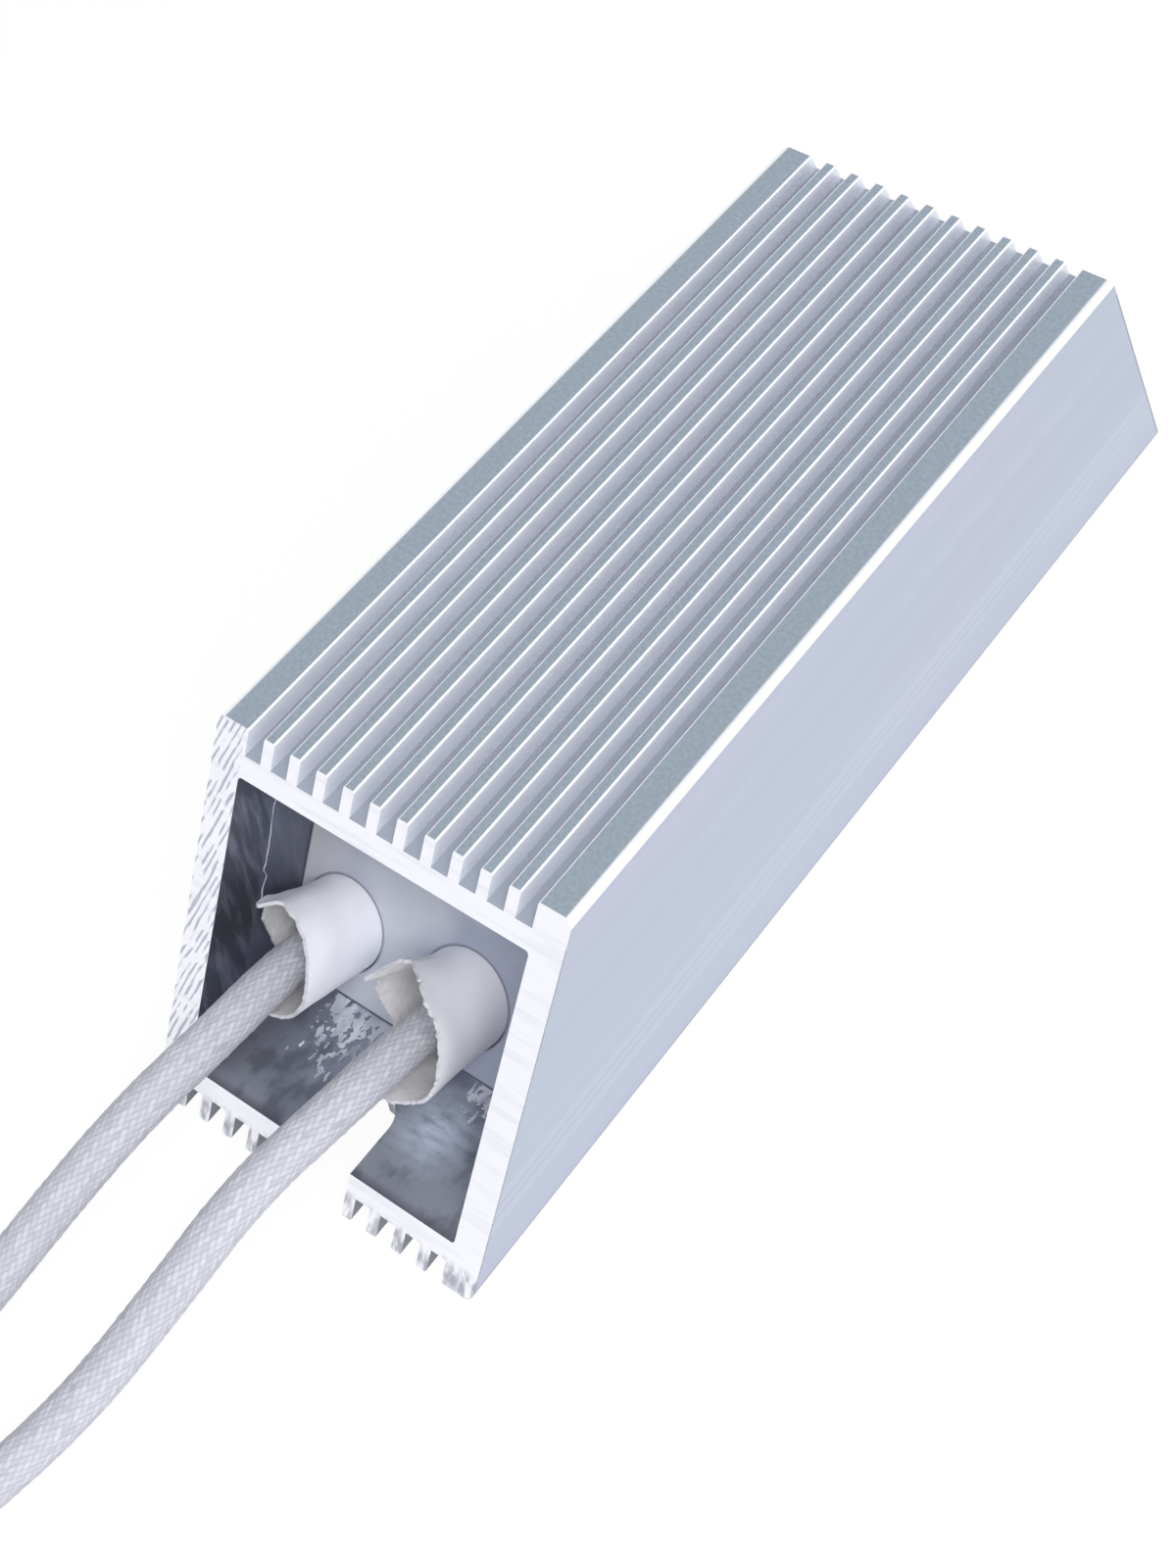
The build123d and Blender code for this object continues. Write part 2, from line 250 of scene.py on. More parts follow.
housing_metal, tree, surface = new_material("housing_metal")
coordinates = wire(tree, "ShaderNodeTexCoord").outputs
place = coordinates["Object"]
across, along, up = wire(tree, "ShaderNodeSeparateXYZ", Vector=place).outputs
facing = wire(tree, "ShaderNodeSeparateXYZ", Vector=coordinates["Normal"]).outputs
facing_side, facing_end, facing_level = (maths(tree, "ABSOLUTE", way) for way in facing)
from_middle = maths(tree, "ABSOLUTE", across)
on_top = above(tree, facing[2], 0.5)
on_side = above(tree, from_middle, side_face)
sawn = product(tree, above(tree, facing_end, 0.5), above(tree, facing_level, 0.3))
cut_place = maths(tree, "SUBTRACT", base_half_length, product(tree, up, end_slant))
behind_cut = maths(tree, "SUBTRACT", cut_place, maths(tree, "ABSOLUTE", along))

die_lines = grained(tree, place, (1.0, 0.012, 1.0), 900.0, 4.0)["Grain"]
broad_lines = grained(tree, place, (1.0, 0.02, 1.0), 160.0, 2.0)["Grain"]
extruded = blend_colours(
    tree, band(tree, broad_lines, 0.35, 0.7), extruded_colour, extruded_light_colour
)
tinge = grained(tree, place, (1.0, 0.6, 1.0), 26.0, 2.0)["Grain"]
tinge = product(tree, band(tree, tinge, 0.40, 0.60), tinge_strength)
extruded = blend_colours(tree, tinge, extruded, tinge_colour)
# The upward faces of the rails and fin tips get a darker, greener copy of the anodised colour,
# as painted shade of the top, with fine speckle.
speckle = grained(tree, place, (1.0, 1.0, 1.0), 1500.0, 2.0)["Grain"]
shaded_top = blend_colours(tree, band(tree, speckle, 0.35, 0.65), shaded_top_colour, shaded_top_light_colour)
on_shaded_top = product(tree, on_top, above(tree, up, fin_tip_top))
extruded = blend_colours(tree, on_shaded_top, extruded, shaded_top)

# Painted light and shade in the fin grooves: the fins' sides get a light grey as painted light,
# the floors of the top grooves a darker grey as painted shade, and the base grooves a
# near-black as painted shade.
in_top_groove = between(tree, up, fin_root_top, fin_tip_top)
in_base_groove = between(tree, up, fin_tip_base, fin_root_base)
in_groove = maths(tree, "ADD", in_top_groove, in_base_groove)
in_groove = product(tree, in_groove, below(tree, from_middle, fin_field_half_width))
groove_light_and_shade = blend_colours(tree, on_top, lit_fin_side_colour, shaded_groove_floor_colour)
groove_light_and_shade = blend_colours(tree, in_base_groove, groove_light_and_shade, shaded_base_groove_colour)
extruded = blend_colours(tree, in_groove, extruded, groove_light_and_shade)

for height in score_heights:
    beside = maths(tree, "ABSOLUTE", maths(tree, "SUBTRACT", up, height * MM))
    score = product(tree, on_side, below(tree, beside, score_width), score_strength)
    extruded = blend_colours(tree, score, extruded, score_colour)
# Painted shade darkens the bottom strip of each side face. The rounded outer edges get a
# painted highlight, white along the upper edges and turning to dark painted shade along the
# lower ones.
base_shade = product(tree, on_side, below(tree, up, base_shade_height), base_shade_strength)
extruded = blend_colours(tree, base_shade, extruded, cut_line_and_edge_shade_colour)
edge_highlight_share = band(tree, up, edges_shaded_below, edges_highlit_above)
edge_highlight_and_shade = blend_colours(tree, edge_highlight_share, cut_line_and_edge_shade_colour, edge_highlight_colour)
rounded_edge = band(tree, product(tree, facing_side, facing_level), 0.08, 0.25)
extruded = blend_colours(tree, rounded_edge, extruded, edge_highlight_and_shade)

wrinkles = grained(tree, place, (1.0, 2.6, 0.4), 250.0, 9.0)["Grain"]
walls = blend_colours(
    tree, band(tree, wrinkles, 0.47, 0.66), cavity_colour, cavity_streak_colour
)
wall_film = band(tree, behind_cut, wall_film_start, wall_film_full)
wall_film = product(tree, wall_film, wall_film_strength)
walls = blend_colours(tree, wall_film, walls, wall_film_colour)

clouds = grained(tree, place, (1.0, 1.0, 1.0), 45.0, 3.0)["Grain"]
inner_floor = blend_colours(tree, clouds, floor_dark_colour, floor_light_colour)
smudges = grained(tree, place, (1.0, 0.6, 1.0), 330.0, 8.0)["Grain"]
smudges = product(tree, band(tree, smudges, 0.46, 0.62), smudge_strength)
inner_floor = blend_colours(tree, smudges, inner_floor, cavity_colour)
from_sheen = vector_maths(tree, "DISTANCE", place, sheen_place)["Value"]
sheen = opposite(tree, band(tree, from_sheen, sheen_core, sheen_reach))
sheen = product(tree, sheen, band(tree, wrinkles, 0.30, 0.60))
inner_floor = blend_colours(tree, sheen, inner_floor, sheen_colour)
# Painted shade darkens the inner floor along the walls and along the cut.
beside_wall = maths(tree, "SUBTRACT", cavity_half_width, from_middle)
floor_edge_shade = maths(tree, "MINIMUM", beside_wall, behind_cut)
floor_edge_shade = opposite(tree, band(tree, floor_edge_shade, floor_shade_full_within, floor_shade_reach))
floor_edge_shade = product(tree, floor_edge_shade, floor_shade_strength)
inner_floor = blend_colours(tree, floor_edge_shade, inner_floor, cavity_colour)
walls = blend_colours(tree, on_top, walls, inner_floor)

leaning = maths(tree, "SUBTRACT", across, product(tree, up, saw_lean))
saw_path = wire(tree, "ShaderNodeCombineXYZ", X=leaning, Y=0.0, Z=up).outputs[0]
stroke_wander = grained(tree, saw_path, (1.0, 1.0, 0.3), 420.0, 2.0)["Grain"]
stroke_gaps = grained(tree, saw_path, (1.0, 1.0, 0.5), 640.0, 1.0)["Grain"]
stroke_phase = maths(
    tree,
    "ADD",
    product(tree, leaning, 2 * math.pi / saw_pitch),
    product(tree, stroke_wander, saw_wander),
)
strokes = product(
    tree,
    band(tree, maths(tree, "SINE", stroke_phase), 0.1, 0.7),
    band(tree, stroke_gaps, 0.42, 0.50),
    below(tree, across, -cavity_half_width),
    saw_stroke_strength,
)
fine_marks = grained(tree, place, (0.2, 1.0, 2.4), 420.0, 3.0)["Grain"]
faint_marks = product(tree, band(tree, fine_marks, 0.48, 0.66), fine_mark_strength)
saw_marks = maths(tree, "MAXIMUM", strokes, faint_marks)
bright_metal = blend_colours(tree, saw_marks, sawn_colour, saw_mark_colour)
# Painted shade: the sawn ends of the base fins are darkened in streaks towards the bottom.
end_shade_streaks = grained(tree, place, (1.0, 0.6, 0.25), 900.0, 3.0)["Grain"]
base_fin_end_shade = product(
    tree,
    opposite(tree, band(tree, up, end_shade_full_below, end_shade_none_above)),
    band(tree, end_shade_streaks, 0.42, 0.62),
)
bright_metal = blend_colours(tree, base_fin_end_shade, bright_metal, base_fin_end_shade_colour)

in_cavity = product(
    tree,
    below(tree, from_middle, cavity_half_width),
    between(tree, up, cavity_low, cavity_high),
)
outer = blend_colours(tree, in_cavity, extruded, walls)
cut_line = product(
    tree,
    below(tree, behind_cut, cut_line_width),
    below(tree, up, fin_root_top),
    cut_line_strength,
)
outer = blend_colours(tree, cut_line, outer, cut_line_and_edge_shade_colour)
metal_colour = blend_colours(tree, sawn, outer, bright_metal)
tree.links.new(metal_colour, surface.inputs["Base Color"])
unsawn = opposite(tree, sawn)
dulled = product(tree, in_groove, unsawn, outer_metallic - groove_metallic)
metallic = maths(tree, "SUBTRACT", outer_metallic, dulled)
tree.links.new(metallic, surface.inputs["Metallic"])
roughness = maths(tree, "ADD", extruded_roughness, product(tree, die_lines, die_line_roughness))
roughness = maths(tree, "ADD", roughness, product(tree, sawn, sawn_roughness))
tree.links.new(roughness, surface.inputs["Roughness"])
relief = maths(
    tree, "ADD", product(tree, die_lines, unsawn), product(tree, fine_marks, sawn, 2.0)
)
emboss(tree, surface, relief, metal_relief)
finish_node("housing", housing_metal)

# Seals
#
# Grey potting cement closes both ends behind the sawn edges. It is poured and trowelled
# flush at the housing's slant, so it is smooth with soft mottling and a few fine pores. It
# shrinks a little as it sets, which leaves a thin dark seam at the walls and the sleeves.
seal_half_width = 25.0 * MM
seal_low = 7.0 * MM
cement_dark_colour = (0.39, 0.41, 0.47, 1)
cement_light_colour = (0.52, 0.54, 0.60, 1)
cement_relief = 0.25 * MM
shade_blotch_colour = (0.28, 0.31, 0.41, 1)
shade_blotch_strength = 0.75
meniscus_shading_colour = (0.49, 0.48, 0.49, 1)
meniscus_shading_strength = 0.7
meniscus_shading_full = 1.0 * MM
meniscus_shading_reach = 7.0 * MM
seam_width = 0.30 * MM
seam_colour = (0.10, 0.10, 0.13, 1)
sleeve_seam_strength = 0.6
slant_angle = math.atan(end_slant)
seal_normal = Vector((0, -math.cos(slant_angle), math.sin(slant_angle)))
lead_exit_y = -68.91667 * MM
lead_exit_z = 17.0 * MM

# Each sleeve's place across the housing, half width and half height at the seal, in mm.
sleeve_bases = {"left": (-16.3, 7.2, 8.0), "right": (6.56, 7.6, 8.4)}
sleeve_lift = 0.8

cement, tree, surface = new_material("seal_cement", roughness=0.62, specular=0.35)
place = wire(tree, "ShaderNodeTexCoord").outputs["Object"]
across, along, up = wire(tree, "ShaderNodeSeparateXYZ", Vector=place).outputs
soft_mottling = grained(tree, place, (1.0, 1.0, 1.0), 60.0, 4.0)["Grain"]
pores = grained(tree, place, (1.0, 1.0, 1.0), 1400.0, 2.0)["Grain"]
cement_colour = blend_colours(tree, soft_mottling, cement_dark_colour, cement_light_colour)
# Painted shade: soft blue-grey blotches stand for the sleeves' shadows on the seal.
shade_blotches = grained(tree, place, (1.0, 0.4, 1.0), 42.0, 2.0)["Grain"]
shade_blotches = product(tree, band(tree, shade_blotches, 0.44, 0.58), shade_blotch_strength)
cement_colour = blend_colours(tree, shade_blotches, cement_colour, shade_blotch_colour)
# Painted light and shade: a warmer grey band along the side walls stands for a meniscus of
# cement, which the flat seal doesn't have.
from_side = maths(tree, "SUBTRACT", seal_half_width, maths(tree, "ABSOLUTE", across))
meniscus_shading = opposite(tree, band(tree, from_side, meniscus_shading_full, meniscus_shading_reach))
meniscus_shading = product(tree, meniscus_shading, meniscus_shading_strength)
cement_colour = blend_colours(tree, meniscus_shading, cement_colour, meniscus_shading_colour)
from_wall = maths(tree, "MINIMUM", from_side, maths(tree, "SUBTRACT", up, seal_low))
seam = opposite(tree, band(tree, from_wall, seam_width / 2, seam_width))
at_lead_end = below(tree, along, 0.0)
for x, half_width, half_height in sleeve_bases.values():
    rise = math.cos(slant_angle)
    centre = (x * MM, 0, lead_exit_z + sleeve_lift * rise * MM)
    squeeze = (1, 0, half_width / half_height / rise)
    outwards = vector_maths(tree, "SUBTRACT", place, centre)[0]
    squeezed = vector_maths(tree, "MULTIPLY", outwards, squeeze)[0]
    distance = vector_maths(tree, "LENGTH", squeezed)["Value"]
    beyond = maths(tree, "SUBTRACT", distance, half_width * MM)
    ring = opposite(tree, band(tree, beyond, seam_width, 1.6 * seam_width))
    ring = product(tree, ring, at_lead_end, sleeve_seam_strength)
    seam = maths(tree, "MAXIMUM", seam, ring)
cement_colour = blend_colours(tree, seam, cement_colour, seam_colour)
tree.links.new(cement_colour, surface.inputs["Base Color"])
relief = maths(tree, "ADD", soft_mottling, product(tree, pores, 0.15))
emboss(tree, surface, relief, cement_relief)
for name in ("near_seal", "far_seal"):
    finish_node(name, cement)

# Cement left on the housing
#
# Some cement was smeared on the inner floor and dried as a thin pale film beside the seal,
# and a fine wavy bead of it runs down the left wall.
film_thickness = 0.12 * MM
film_clearance = 0.02 * MM
film_dark_colour = (0.28, 0.30, 0.36, 1)
film_light_colour = (0.55, 0.56, 0.63, 1)
film_relief = 0.15 * MM
film_patches = {
    "middle": {
        "low": (-15.0, -88.0),
        "high": (1.5, -74.3),
        "cells": 110,
        "seed": 4.0,
        "kept": 0.42,
    },
    "right": {
        "low": (12.0, -81.0),
        "high": (24.6, -74.3),
        "cells": 80,
        "seed": 11.0,
        "kept": 0.45,
    },
}
film_cement, tree, surface = new_material("cement_film", roughness=0.8, specular=0.25)
place = wire(tree, "ShaderNodeTexCoord").outputs["Object"]
haze = grained(tree, place, (1.0, 0.5, 1.0), 420.0, 6.0)["Grain"]
film_colour = blend_colours(
    tree, band(tree, haze, 0.38, 0.66), film_dark_colour, film_light_colour
)
tree.links.new(film_colour, surface.inputs["Base Color"])
emboss(tree, surface, haze, film_relief)
for name, patch in film_patches.items():
    (low_x, low_y), (high_x, high_y) = patch["low"], patch["high"]
    bpy.ops.mesh.primitive_grid_add(
        x_subdivisions=patch["cells"], y_subdivisions=patch["cells"], size=1
    )
    film = bpy.context.object
    film.name = f"cement_film_{name}"
    for vertex in film.data.vertices:
        x = low_x + (vertex.co.x + 0.5) * (high_x - low_x)
        y = low_y + (vertex.co.y + 0.5) * (high_y - low_y)
        vertex.co = (x * MM, y * MM, seal_low + film_clearance)
    cover = []
    for polygon in film.data.polygons:
        x, y = polygon.center.x / MM, polygon.center.y / MM
        edge = min(x - low_x, high_x - x) / (high_x - low_x)
        out = (high_y - y) / (high_y - low_y)
        ragged = noise.fractal(Vector((0.9 * x, 0.4 * y, patch["seed"])), 0.6, 2.0, 6)
        cover.append(ragged + 1.2 * min(edge, 0.25) - 0.9 * out)
    least = sorted(cover)[round((1 - patch["kept"]) * len(cover))]
    for polygon, amount in zip(film.data.polygons, cover):
        polygon.select = amount < least
    for edge_or_vertex in (*film.data.vertices, *film.data.edges):
        edge_or_vertex.select = False
    bpy.ops.object.mode_set(mode="EDIT")
    bpy.context.tool_settings.mesh_select_mode = (False, False, True)
    bpy.ops.mesh.delete(type="FACE")
    bpy.context.tool_settings.mesh_select_mode = (True, False, False)
    bpy.ops.object.mode_set(mode="OBJECT")
    depth = film.modifiers.new("depth", "SOLIDIFY")
    depth.thickness = film_thickness
    depth.offset = 1
    bpy.ops.object.modifier_apply(modifier="depth")
    film.data.materials.append(film_cement)
    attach(film, "root")
    film.select_set(False)

# The bead's points, in mm: down the left wall at a steady distance behind the cut.
bead_radius = 0.09 * MM
bead_points = 30
bead_x = -24.95
bead_top = 52.6
bead_spacing = 0.95
bead_behind_cut = 9.5
bead_curve = bpy.data.curves.new("cement_bead", "CURVE")
bead_curve.dimensions = "3D"
bead_curve.bevel_depth = bead_radius
bead_curve.bevel_resolution = 2
spline = bead_curve.splines.new("NURBS")
spline.points.add(bead_points - 1)
for number, point in enumerate(spline.points):
    z = bead_top - bead_spacing * number
    sway = 0.08 * number + 1.3 * noise.noise(Vector((0.5 * number, 0.0, 3.0)))
    y = -base_half_length / MM + end_slant * z + bead_behind_cut + sway
    point.co = (bead_x * MM, y * MM, z * MM, 1)
spline.order_u = 3
spline.use_endpoint_u = True
bead = bpy.data.objects.new("cement_bead", bead_curve)
bpy.context.scene.collection.objects.link(bead)
bead_curve.materials.append(film_cement)
bpy.context.view_layer.objects.active = bead
bead.select_set(True)
bpy.ops.object.convert(target="MESH")
bead = bpy.context.object
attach(bead, "root")
bead.select_set(False)

# Lead sleeves
#
# Each lead leaves the seal inside a flared tube of glass-fibre cloth stiffened with resin.
# The tube was cut by hand, so its mouth is ragged and bent out of round.
sleeve_wall = 0.55 * MM
sleeve_rings = 26
sleeve_sides = 120
sleeve_wobble = 0.035
flare_power = 1.7
mouth_ripple = 0.35
cloth_dark_colour = (0.86, 0.87, 0.93, 1)
cloth_light_colour = (0.94, 0.95, 0.99, 1)
cloth_relief = 0.2 * MM

# A bump of the mouth's edge is the angle of its middle and its spread in degrees, and its
# height in mm.
sleeves = {
    "left": {
        "mouth": (8.0, 9.3),
        "lift": 1.9,
        "reach": 13.8,
        "lean": 4.2,
        "fray": 0.25,
        "bumps": [(122, 15, 4.6), (95, 30, 1.6), (274, 22, 2.6), (224, 26, -3.6)],
    },
    "right": {
        "mouth": (9.2, 10.2),
        "lift": 2.2,
        "reach": 14.0,
        "lean": 4.4,
        "fray": 0.7,
        "bumps": [
            (138, 9, 6.4),
            (104, 20, -0.6),
            (70, 22, 1.2),
            (274, 22, 3.2),
            (224, 26, -4.0),
        ],
    },
}

sleeve_cloth, tree, surface = new_material("sleeve_cloth", roughness=0.72, specular=0.3)
place = wire(tree, "ShaderNodeTexCoord").outputs["Object"]
cloth_clouds = grained(tree, place, (1.0, 1.0, 1.0), 130.0, 3.0)["Grain"]
cloth_grain = grained(tree, place, (1.0, 1.0, 1.0), 2200.0, 2.0)["Grain"]
cloth_colour = blend_colours(tree, cloth_clouds, cloth_dark_colour, cloth_light_colour)
tree.links.new(cloth_colour, surface.inputs["Base Color"])
relief = maths(tree, "ADD", cloth_clouds, product(tree, cloth_grain, 0.3))
emboss(tree, surface, relief, cloth_relief, 0.4)
# The tube's inside is the same cloth in a darker grey, as painted shade.
shaded_sleeve_inside = grained_material(
    "shaded_sleeve_inside",
    (0.85, 0.0, 0.2),
    700.0,
    dark=(0.58, 0.57, 0.58, 1),
    light=(0.74, 0.73, 0.74, 1),
    depth=0.3 * MM,
    detail=4.0,
)
cut_cloth = grained_material(
    "cut_cloth",
    (0.9, 0.0, 0.1),
    1500.0,
    dark=(0.38, 0.38, 0.41, 1),
    light=(0.56, 0.56, 0.59, 1),
    depth=0.2 * MM,
    strength=0.8,
)


def noise_round(angle, waves, seed):
    """Smooth noise round a circle, so that its ends meet."""
    return noise.noise(Vector((waves * math.cos(angle), waves * math.sin(angle), seed)))


for side, sizes in sleeves.items():
    x, *base_sizes = sleeve_bases[side]
    bpy.ops.mesh.primitive_circle_add(vertices=sleeve_sides, radius=1, fill_type="NOTHING")
    sleeve = bpy.context.object
    sleeve.name = f"cloth_sleeve_{side}"
    bpy.ops.object.mode_set(mode="EDIT")
    for ring in range(sleeve_rings):
        bpy.ops.mesh.extrude_region_move(TRANSFORM_OT_translate={"value": (0, 0, 1)})
    bpy.ops.object.mode_set(mode="OBJECT")
    exit_point = Vector((x * MM, lead_exit_y, lead_exit_z))
    tilt = seal_normal.cross(Vector((1, 0, 0)))
    turn = Matrix((Vector((1, 0, 0)), tilt, seal_normal)).transposed()
    for vertex in sleeve.data.vertices:
        angle = math.atan2(vertex.co.y, vertex.co.x)
        share = vertex.co.z / sleeve_rings
        degrees = math.degrees(angle) % 360
        reach = sizes["reach"] + sizes["lean"] * math.cos(angle)
        for middle, spread, height in sizes["bumps"]:
            reach += height * math.exp(-(((degrees - middle) / spread) ** 2))
        reach += mouth_ripple * noise_round(angle, 6, x)
        reach += sizes["fray"] * noise_round(angle, 24, 1.0)
        height = share * reach * MM
        flare = share**flare_power
        half_width, half_height = (
            base + (mouth - base) * flare for base, mouth in zip(base_sizes, sizes["mouth"])
        )
        lift = sleeve_lift + (sizes["lift"] - sleeve_lift) * flare
        wobble = 1 + sleeve_wobble * share * noise_round(angle, 1.5, 3 * share + x)
        sideways = wobble * half_width * math.cos(angle) * MM
        upwards = (wobble * half_height * math.sin(angle) + lift) * MM
        vertex.co = exit_point + turn @ Vector((sideways, upwards, height))
    sleeve.data.update()
    first_face = sleeve.data.polygons[0]
    if first_face.normal.dot(first_face.center - exit_point) < 0:
        bpy.ops.object.mode_set(mode="EDIT")
        bpy.ops.mesh.select_all(action="SELECT")
        bpy.ops.mesh.flip_normals()
        bpy.ops.object.mode_set(mode="OBJECT")
    thickness = sleeve.modifiers.new("wall", "SOLIDIFY")
    thickness.thickness = sleeve_wall
    thickness.offset = -1
    thickness.material_offset = 1
    thickness.material_offset_rim = 2
    for cloth in (sleeve_cloth, shaded_sleeve_inside, cut_cloth):
        sleeve.data.materials.append(cloth)
    bpy.ops.object.modifier_apply(modifier="wall")
    bpy.ops.object.shade_smooth_by_angle(angle=math.radians(40))
    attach(sleeve, "root")
    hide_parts(f"lead_sleeve_{side}")
    sleeve.select_set(False)

# Free leads
#
# Each lead is a stranded conductor under a white glass-fibre braid, limp enough to fall to
# the bench by its own weight. It leaves its sleeve squarely and ends in a crimped ring lug.
lead_radius = 3.4 * MM
lead_first_run = 11.0 * MM
lead_sides = 132
lead_ring_step = 0.30 * MM
braid_carriers = 22
braid_step = 1.8 * MM
braid_depth = 0.14 * MM
over_fullness = 0.88
under_fullness = 0.66
fullness_spread = 0.6
thread_dark_colour = (0.38, 0.38, 0.42, 1)
thread_light_colour = (0.59, 0.59, 0.63, 1)
thread_gap_shade_colour = (0.31, 0.31, 0.36, 1)
fibre_relief = 0.06 * MM
fibre_map_length = 20 * MM
lead_routes = {
    "left": [
        (-0.0159, -0.0955, 0.0244),
        (-0.0182, -0.1115, 0.0226),
        (-0.0212, -0.1275, 0.0156),
        (-0.0240, -0.1445, 0.0076),
        (-0.0275, -0.1620, 0.00415),
        (-0.0325, -0.1795, 0.00415),
        (-0.0365, -0.1975, 0.00415),
        (-0.0380, -0.2160, 0.00415),
        (-0.0370, -0.2345, 0.00415),
        (-0.0345, -0.2525, 0.00415),
    ],
    "right": [
        (0.0058, -0.0955, 0.0249),
        (0.0030, -0.1115, 0.0233),
        (0.0009, -0.1275, 0.0159),
        (-0.0022, -0.1445, 0.0076),
        (-0.0065, -0.1625, 0.00415),
        (-0.0103, -0.1805, 0.00415),
        (-0.0120, -0.1990, 0.00415),
        (-0.0105, -0.2175, 0.00415),
        (-0.0065, -0.2355, 0.00415),
        (-0.0010, -0.2525, 0.00415),
    ],
}

braid, tree, surface = new_material("glass_braid", roughness=0.78, specular=0.3)
weave = wire(tree, "ShaderNodeAttribute", {"attribute_name": "weave_height"}).outputs["Fac"]
uv = wire(tree, "ShaderNodeUVMap", {"uv_map": "lead_surface"}).outputs[0]
fibres = grained(tree, uv, (60.0, 260.0, 1.0), 1.0, 2.0)["Grain"]
thread_colour = blend_colours(tree, fibres, thread_dark_colour, thread_light_colour)
# The gaps between the threads are darker as painted shade.
braid_colour = blend_colours(
    tree, band(tree, weave, 0.0, 0.85), thread_gap_shade_colour, thread_colour
)
tree.links.new(braid_colour, surface.inputs["Base Color"])
emboss(tree, surface, fibres, fibre_relief)


def even_line(points, step):
    """Points an even distance apart on the smooth line of a route, and its length."""
    data = bpy.data.curves.new("route", "CURVE")
    data.dimensions = "3D"
    spline = data.splines.new("NURBS")
    spline.points.add(len(points) - 1)
    for point, where in zip(spline.points, points):
        point.co = (*where, 1)
    spline.order_u = 3
    spline.use_endpoint_u = True
    spline.resolution_u = 32
    holder = bpy.data.objects.new("route", data)
    bpy.context.scene.collection.objects.link(holder)
    line = bpy.data.meshes.new_from_object(holder)
    found = [vertex.co.copy() for vertex in line.vertices]
    bpy.data.objects.remove(holder)
    distances = [0.0]
    for a, b in zip(found, found[1:]):
        distances.append(distances[-1] + (b - a).length)
    count = round(distances[-1] / step)
    evened = []
    segment = 0
    for number in range(count + 1):
        target = distances[-1] * number / count
        while segment < len(found) - 2 and distances[segment + 1] < target:
            segment += 1
        run = distances[segment + 1] - distances[segment]
        share = (target - distances[segment]) / run
        evened.append(found[segment].lerp(found[segment + 1], share))
    return evened, distances[-1]


def braid_height(turns, travelled):
    """How far the braid stands out at a place: 0 in a gap, about 1 on a full thread.

    Threads of both hands cross, two over and two under, and no two are equally full.
    """
    right_hand = turns + travelled / braid_step
    left_hand = turns - travelled / braid_step
    over = (math.floor(right_hand) + math.floor(left_hand)) % 4 < 2
    crown, arch = (right_hand, left_hand) if over else (left_hand, right_hand)
    height = math.sin(math.pi * (crown % 1)) ** 0.6
    height *= 0.55 + 0.45 * math.sin(math.pi * (arch % 1))
    seed = Vector((0.83 * math.floor(crown), 0.6 * math.floor(arch), 7.3 * over))
    fullness = over_fullness if over else under_fullness
    return height * (fullness + fullness_spread * noise.noise(seed))


for side, route in lead_routes.items():
    start = Vector((sleeve_bases[side][0] * MM, lead_exit_y, lead_exit_z))
    points = [start, start + seal_normal * lead_first_run, *[Vector(p) for p in route]]
    line, length = even_line(points, lead_ring_step)
    tangents = [(b - a).normalized() for a, b in zip(line, line[1:])]
    tangents.append(tangents[-1])
    side_way = Vector((1, 0, 0))
    vertices, faces, heights = [], [], []
    for ring, (centre, tangent) in enumerate(zip(line, tangents)):
        if ring:
            side_way = tangents[ring - 1].rotation_difference(tangent) @ side_way
        side_way = (side_way - tangent * side_way.dot(tangent)).normalized()
        other_way = tangent.cross(side_way)
        travelled = length * ring / (len(line) - 1)
        for number in range(lead_sides):
            angle = 2 * math.pi * number / lead_sides
            height = braid_height(braid_carriers * number / lead_sides, travelled)
            radius = lead_radius - braid_depth * (1 - height)
            outwards = math.cos(angle) * side_way + math.sin(angle) * other_way
            heights.append(height)
            vertices.append(centre + radius * outwards)
    rings = len(line)
    for ring in range(rings - 1):
        this_ring, next_ring = ring * lead_sides, (ring + 1) * lead_sides
        for number in range(lead_sides):
            after = (number + 1) % lead_sides
            faces.append(
                (this_ring + number, this_ring + after, next_ring + after, next_ring + number)
            )
    faces.append(tuple(reversed(range(lead_sides))))
    faces.append(tuple(range((rings - 1) * lead_sides, rings * lead_sides)))
    mesh = bpy.data.meshes.new(f"braided_lead_{side}")
    mesh.from_pydata(vertices, [], faces)
    weave_heights = mesh.attributes.new("weave_height", "FLOAT", "POINT")
    weave_heights.data.foreach_set("value", heights)
    surface_map = mesh.uv_layers.new(name="lead_surface")
    for polygon in mesh.polygons:
        polygon.use_smooth = True
        for loop in polygon.loop_indices:
            ring, number = divmod(mesh.loops[loop].vertex_index, lead_sides)
            map_along = ring / rings * length / fibre_map_length
            surface_map.data[loop].uv = (map_along, number / lead_sides)
    mesh.materials.append(braid)
    lead = bpy.data.objects.new(f"braided_lead_{side}", mesh)
    bpy.context.scene.collection.objects.link(lead)
    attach(lead, "root")
    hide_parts(f"lead_{side}")

